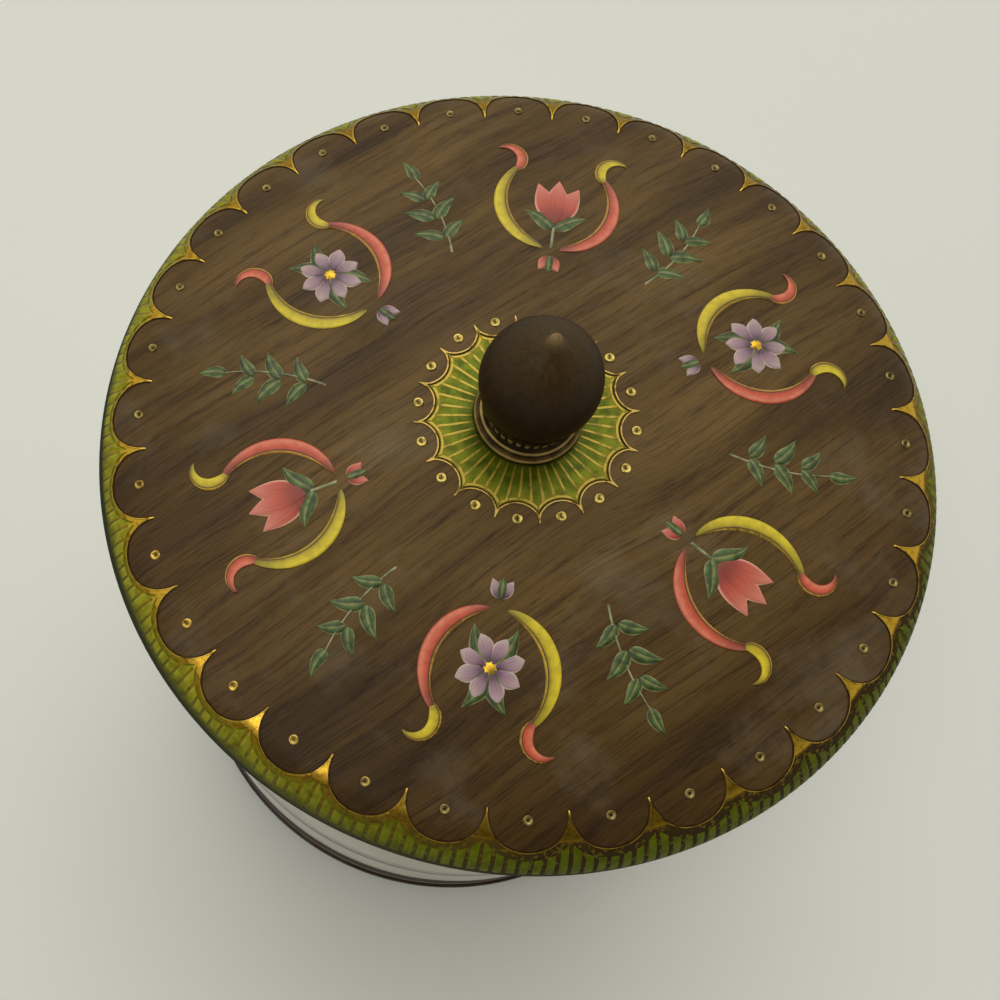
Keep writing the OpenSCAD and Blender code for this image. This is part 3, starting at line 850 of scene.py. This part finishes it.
def garland():
    """Six medallions: daisies and tulips in turn, each between a yellow and a coral scroll that close round
    it like brackets, with an upright leaf spray between neighbours."""
    angles = [GARLAND_TURN + k * TURN / MEDALLIONS for k in range(MEDALLIONS)]
    between = [a + PI / MEDALLIONS for a in angles]
    daisies, tulips = angles[::2], angles[1::2]
    flat = 0.16

    # Brackets bulge away from the flower, and a hook of the other colour curls outwards from each one's end
    bracket = stroke(lambda u: 1.4 - 2.15 * u, 25 * MM,
                     lambda u: (1.5 * np.sin(PI * np.minimum(u * 0.93, 1) ** 0.8) ** 0.7 + 0.04) * MM, 36)
    hook = stroke(lambda u: 3.1 * u ** 1.15 - 0.75, 10.5 * MM,
                  lambda u: (1.2 * np.sin(PI * u ** 0.65) ** 0.75 + 0.04) * MM, 24)
    start, end = (-10.4 * MM, 1.4 * MM, 0.0), (7.4 * MM, 9.0 * MM, 0.0)
    motif("yellow_scrolls", bracket, [(*start, 1, 1, a) for a in angles], SCROLLS, YELLOW, flat)
    motif("coral_scrolls", bracket, [(*start, -1, 1, a) for a in angles], SCROLLS, CORAL, flat)
    motif("coral_hooks", hook, [(*end, 1, 1, a) for a in angles], SCROLLS + 0.03 * MM, CORAL, flat)
    motif("yellow_hooks", hook, [(*end, -1, 1, a) for a in angles], SCROLLS + 0.03 * MM, YELLOW, flat)

    # Leaf sprays: a straight stem with pairs of leaves and one at the tip, and leaves behind the flowers
    stem = stroke(lambda u: 0.5 * (u - 0.5), 20 * MM, lambda u: (0.26 - 0.12 * u) * MM)
    motif("spray_stems", stem, [(-10 * MM, 0, 0, 1, 1, a) for a in between], LINES, STEM)
    blade = leaf(6.6 * MM, 3.1 * MM, 0.7)
    pairs = [(-6.2, 1.0, 0.9), (-1.4, 0.9, 1.0), (3.6, 0.8, 0.85)]
    spots = [(out * MM, 0.2 * MM, tilt, flip, scale, a) for a in between for out, tilt, scale in pairs
             for flip in (1, -1)]
    spots += [(9.0 * MM, 0, 0.1, 1, 0.85, a) for a in between]
    spots += [(0, 0, tilt, flip, 1.3, a) for a in daisies for tilt in (0.42, 2.6) for flip in (1, -1)]
    spots += [(-6 * MM, 0, 0.95, flip, 1.15, a) for a in tulips for flip in (1, -1)]
    motif("leaves", blade, spots, LEAVES, LEAF)

    # Daisies: eight round-ended petals about a seed head
    ray = leaf(6.3 * MM, 3.4 * MM, 0.1, 1.5)
    turns = [(k + 0.5) * TURN / 8 for k in range(8)]
    low_petals = [(0, 0, t, 1, 1, a) for a in daisies for t in turns[::2]]
    top_petals = [(0, 0, t, 1, 0.95, a) for a in daisies for t in turns[1::2]]
    motif("daisy_low_petals", ray, low_petals, PETALS, MAUVE)
    motif("daisy_top_petals", ray, top_petals, PETALS + 0.05 * MM, MAUVE)

    # Tulips: two side petals lean out from behind a middle one, on a short stem
    cup = leaf(11.5 * MM, 5.2 * MM, 0.0, 0.85)
    sides = [(-4.6 * MM, 0, 0.4, flip, 0.92, a) for a in tulips for flip in (1, -1)]
    motif("tulip_side_petals", cup, sides, PETALS, ROSE)
    motif("tulip_middle_petals", cup, [(-5 * MM, 0, 0, 1, 1, a) for a in tulips], PETALS + 0.05 * MM, ROSE)
    stem = stroke(np.zeros_like, 6 * MM, lambda u: np.full_like(u, 0.32 * MM))
    motif("tulip_stems", stem, [(-10.4 * MM, 0, 0, 1, 1, a) for a in tulips], LINES, STEM)

    # Buds at the inner ends of the brackets, and the daisies' seed heads, each a flattened half ball
    bud = leaf(4.0 * MM, 2.4 * MM, 0.0, 0.8)
    spots = [(-12.2 * MM, 0, PI - 0.5, flip, 1, a) for flip in (1, -1) for a in angles]
    motif("mauve_buds", bud, spots[::2], PETALS, MAUVE)
    motif("coral_buds", bud, spots[1::2], PETALS, ROSE)
    motif("bud_hearts", bud, [(-12.0 * MM, 0, PI, 1, 1.05, a) for a in angles], PETALS + 0.04 * MM, LEAF)
    out, spin = np.linspace(0, 1, 7)[:, None], np.linspace(0, TURN, 25)[None, :]
    head = 1.4 * MM * out
    s, turn = place(head * np.cos(spin), head * np.sin(spin), GARLAND_R, np.array(daisies)[:, None, None])
    print_piece("daisy_heads", SEED, s, turn, np.sqrt(1 - out ** 2), PETALS + 0.14 * MM, (spin / TURN, out))


def wall_sheet():
    """The wall's rolled sheet: mouth curl, straight face, flange in the bottom seam, and the lapped side
    seam as a strip at the back that stands out by the sheet's thickness."""
    curl = (WALL_IN + CURL_R, CURL_Z)
    inner_curl = arc(curl, CURL_R - WALL_T, CURL_END, PI, 18)
    lap_low, lap_high = SEAM_H + 0.2 * MM, CURL_Z - CURL_R - 0.2 * MM
    face_z = [CURL_Z - CURL_R, lap_high, lap_high - 0.15 * MM,
              *np.linspace(lap_high - 1 * MM, lap_low + 1 * MM, 24),
              lap_low + 0.15 * MM, lap_low, FLANGE_Z + WALL_T]
    face = [[WALL_R, z] for z in face_z]
    half_lap = LAP_W / 2 / WALL_R
    seam = PI / 2 + np.array([-1.04, -1.0, 1.0, 1.04]) * half_lap
    angles = np.unique(np.concatenate([np.linspace(0, TURN, 361), seam]))
    outside, outside_uv = turned(np.concatenate([inner_curl, face]), angles)
    near = np.abs(angles - PI / 2) <= half_lap * 1.001
    z = outside[:, 0, 2]
    upright = (z > lap_low + 0.1 * MM) & (z < lap_high - 0.1 * MM)
    upright &= np.isclose(np.hypot(outside[:, 0, 0], outside[:, 0, 1]), WALL_R, atol=0.01 * MM)
    bulge = 1 + (LAP_T - 0.02 * MM) / WALL_R * (upright[:, None] & near[None, :])
    outside[..., :2] *= bulge[..., None]
    inside_top = [[WALL_IN, CURL_Z - 2 * CURL_R]]
    top = turned(np.concatenate([inside_top, arc(curl, CURL_R, PI, CURL_END, 22), inner_curl[:1]]), angles)
    hook = [[WALL_R, FLANGE_Z + WALL_T], [HOOK_IN, FLANGE_Z + WALL_T], [HOOK_IN, HOOK_TOP],
            [HOOK_OUT, HOOK_TOP], [HOOK_OUT, FLANGE_Z], [WALL_IN, FLANGE_Z]]
    flange = turned(np.array(hook + inside_top), angles)
    piece = make_piece("wall_sheet", "canister", [(outside, outside_uv), top, flange],
                       [ENAMEL, TIN], part=[0, 1, 1])
    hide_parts("body_wall")


def bottom_sheet():
    """Stamped bottom: sunk panel with one raised step, the sink's wall, and the rolled seam at the foot."""
    corner = 0.55 * MM
    chuck_in = CHUCK_OUT - WALL_T
    lip_in = WALL_R + FOLD_GAP / 2
    under = [[0, SINK_H + STEP_H], [STEP_R - STEP_W, SINK_H + STEP_H], [STEP_R, SINK_H], [chuck_in, SINK_H]]
    under = rounded(under, [0, 1.2 * MM, 1.2 * MM, 0], 5)
    over = under + [0, WALL_T]
    over[-1, 0] = CHUCK_OUT
    seam = np.concatenate([[[chuck_in, 0], [SEAM_R - corner, 0]],
                           arc((SEAM_R - corner, corner), corner, -PI / 2, 0, 8),
                           arc((SEAM_R - corner, SEAM_H - corner), corner, 0, PI / 2, 8), [[lip_in, SEAM_H]]])
    fold = [[lip_in, SEAM_H], [lip_in, SEAM_H - WALL_T], [COVER_IN, SEAM_H - WALL_T], [COVER_IN, WALL_T],
            [CHUCK_OUT, WALL_T], [CHUCK_OUT, SINK_H + WALL_T]]
    panel = turned(np.concatenate([over, fold[::-1]]), ROUND)
    rolled = turned(seam[::-1], ROUND)
    below = turned(np.concatenate([[[chuck_in, 0]], under[::-1]]), ROUND)
    piece = make_piece("bottom_sheet", "canister", [panel, rolled, below], [TIN, BASE],
                       part=[0, 1, 0])
    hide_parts("bottom_disc")


def knob_turned():
    """The acorn: stem in the cup, round lower half, pointed upper half and small tip, in one flow."""
    ball_r = acorn_high.x
    ogive_r = 13 * MM
    stem_r = 6.2 * MM
    tip_r = 1.1 * MM
    ogive_x = ball_r - ogive_r
    top = math.acos((3.4 * MM - ogive_x) / ogive_r)
    tip_z = acorn_high.z - tip_r
    foot = -math.acos(stem_r / ball_r)
    tip = arc((0, tip_z), tip_r, PI / 2, 0.45, 9)
    upper = arc((ogive_x, BALL_Z), ogive_r, top, 0, 30)
    lower = arc((0, BALL_Z), ball_r, 0, foot, 24)
    join = rounded([tip[-1], [1.35 * MM, tip_z - 1.1 * MM], upper[0]], [0, 2 * MM, 0], 12)
    stem = [[stem_r, acorn_low.z], [0, acorn_low.z]]
    profile = np.concatenate([tip, join[1:-1], upper, lower[1:], stem])
    piece = make_piece("knob_turned", "knob", [turned(profile, ROUND // 2)], [HARDWOOD])
    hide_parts("knob")


def ferrule_cup():
    """Fluted cup: floor, two beads, waist and a flare whose outer face is pressed into upright flutes. The
    uv's second value says how bright a point is: most on the beads, where it is a painted highlight, and low
    on the flutes' ridges, polished by handling."""
    flutes = 32
    depth = 0.25 * MM
    rim_z = cup_high.z
    low_r, top_r, sink, sheet = 0.8 * MM, 0.65 * MM, 0.25 * MM, 0.6 * MM
    waist_r = 7.9 * MM
    low = (cup_high.x - low_r, cup_low.z + low_r)
    top = (low[0] - top_r, low[1] + low_r + top_r - sink)
    waist_z = top[1] + top_r + 0.4 * MM
    rim_in = math.sqrt(acorn_high.x ** 2 - (BALL_Z - rim_z) ** 2) + 0.1 * MM
    rim_r = rim_in + sheet
    lip = [[rim_in, rim_z - 0.1 * MM], [rim_in + 0.12 * MM, rim_z], [rim_r - 0.12 * MM, rim_z]]
    flare = np.linspace(0, 1, 16)[:, None]
    wall = np.array([[rim_r, rim_z]]) * (1 - flare) + np.array([[waist_r, waist_z]]) * flare
    upper_bead = arc(top, top_r, PI * 0.6, -0.1 * PI, 12)
    lower_bead = arc(low, low_r, PI * 0.32, -PI / 2, 14)
    inside = [[3 * MM, cup_low.z], [HOLE_R, cup_low.z], [HOLE_R, cup_low.z + sheet],
              [waist_r - sheet, cup_low.z + sheet], [waist_r - sheet, waist_z], [rim_in, rim_z - 0.1 * MM]]
    profile = np.concatenate([lip, wall, upper_bead, lower_bead, inside])
    # Painted highlight: each bead is bright along a soft line round it
    upper_highlight = 0.2 + 0.6 * np.exp(-((np.linspace(0.6, -0.1, 13) - 0.3) / 0.13) ** 2)
    lower_highlight = 0.24 + 0.5 * np.exp(-((np.linspace(0.32, -0.5, 15) - 0.18) / 0.12) ** 2)
    raised = np.concatenate([[0.4] * len(lip), [0.1] * len(wall), upper_highlight, lower_highlight,
                             [0.1] * len(inside)])
    points, uv = turned(profile, flutes * 12)
    share = np.clip((points[..., 2] - waist_z) / (rim_z - waist_z), 0, 1)
    on_wall = np.zeros((len(profile), 1))
    on_wall[len(lip):len(lip) + len(wall)] = 1
    hollow = (0.5 + 0.5 * np.cos(flutes * uv[..., 0] * TURN)) ** 1.5
    press = on_wall * np.clip(share * 8, 0, 1) * hollow
    r = np.hypot(points[..., 0], points[..., 1])
    points[..., :2] *= ((r - depth * press) / r)[..., None]
    handled = np.clip(1.4 - 1.8 * share, 0, 1) * np.clip(share * 12, 0, 1)
    uv[..., 1] = raised[:, None] + on_wall * (1 - hollow) ** 2 * handled * 1.4
    piece = make_piece("ferrule_cup", "knob", [(points, uv)], [BRASS])
    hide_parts("knob_ferrule")


lid_sheet()
border_ground()
border_bars()
scallop_line("scallop_line", LOBE_R, 0.32 * MM, GOLD, LINES)
scallop_line("scallop_shade", LOBE_R - 0.28 * MM, 0.16 * MM, BROWN, BARS)
pressed_dots("border_dots", LOBES, DOT_S, LOBE_TURN, DOT_R, 0.34, DOT_DULL)
rosette_field()
rosette_rays()
rosette_line("rosette_line", ARC_R - 0.05 * MM, 0.34 * MM, 0.03, PALE_GOLD, LINES + 0.03 * MM)
rosette_line("rosette_gap", ARC_R + 0.23 * MM, 0.22 * MM, 0.0, BROWN, LINES)
rosette_line("rosette_inner_line", ARC_R + 0.72 * MM, 0.6 * MM, 0.0, RAY_GOLD, BARS)
rosette_tails()
pressed_dots("rosette_dots", POINTS, ROSETTE_DOT_S, POINT_TURN, 1.1 * DOT_R, 0.28, DOT_BRIGHT)
garland()
knob_turned()
ferrule_cup()
wall_sheet()
bottom_sheet()

for node_name, finish in (("knob_insert", INSERT_BRASS), ("knob_screw", ZINC), ("screw_washer", ZINC)):
    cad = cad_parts[node_name]
    cad.data.materials.clear()
    cad.data.materials.append(finish)

# Camera at the photograph's place, in metres, with the lens and shift that give its frame
camera_data = bpy.data.cameras.new("camera")
camera_data.lens = 42.18
camera_data.sensor_width = 36.0
camera_data.shift_x = 0.1531
camera_data.shift_y = 0.05375
camera = bpy.data.objects.new("camera", camera_data)
bpy.context.scene.collection.objects.link(camera)
look = Vector((0.001874, 0.317084, -0.948396)).normalized()
up = Vector((-0.040973, 0.947625, 0.316745))
side = look.cross(up).normalized()
turn_matrix = Matrix((side, side.cross(look), -look)).transposed().to_4x4()
camera.matrix_world = Matrix.Translation((-0.0321, -0.0923, 0.3587)) @ turn_matrix
bpy.context.scene.camera = camera

# Floor
bpy.ops.mesh.primitive_plane_add(size=6, location=(0, 0, 0))
floor = bpy.context.object
floor.name = "floor"
floor.data.materials.append(material("pale_paper_floor", base_color="#e1e2db", roughness=0.9)[0])

# Soft light from all round, weaker from the front, with a dark place above the front
world = bpy.data.worlds.new("studio")
bpy.context.scene.world = world
world.use_nodes = True
add_sky = partial(add_node, world.node_tree)
toward = add_sky("TexCoord").outputs["Generated"]
_, depth, height = add_sky("SeparateXYZ", [toward]).outputs
tint = add_sky("ValToRGB", [height], [(0.0, "#f2f0e4"), (0.8, "#e8e7dc")])
near_viewer = add_sky("VectorMath", [toward, (0.10, -0.40, 0.91)], **TOWARDS)
open_sky = add_sky("MapRange", [near_viewer, 0.68, 0.9, 1.0, 0.1])
behind = add_sky("MapRange", [depth, -0.9, 0.4, 0.66, 1.06])
light = add_sky("Math", [open_sky, behind], **PRODUCT)
set_inputs(world.node_tree.nodes["Background"], {"Color": tint, "Strength": light})


def add_lamp(name, place_at, aim, size, power):
    """A square soft lamp at a place, aimed at a point."""
    data = bpy.data.lights.new(name, "AREA")
    data.size = size
    data.energy = power
    lamp = bpy.data.objects.new(name, data)
    lamp.location = place_at
    lamp.rotation_mode = "QUATERNION"
    lamp.rotation_quaternion = (Vector(aim) - Vector(place_at)).to_track_quat("-Z", "Y")
    bpy.context.scene.collection.objects.link(lamp)


add_lamp("back_light", (0.0, 1.2, 2.4), (0, 0, 0.1), 2.0, 20)
add_lamp("upper_left_light", (-0.48, -0.3, 1.35), (0, 0, 0.17), 0.4, 2.5)

bpy.context.scene.view_settings.view_transform = "Standard"
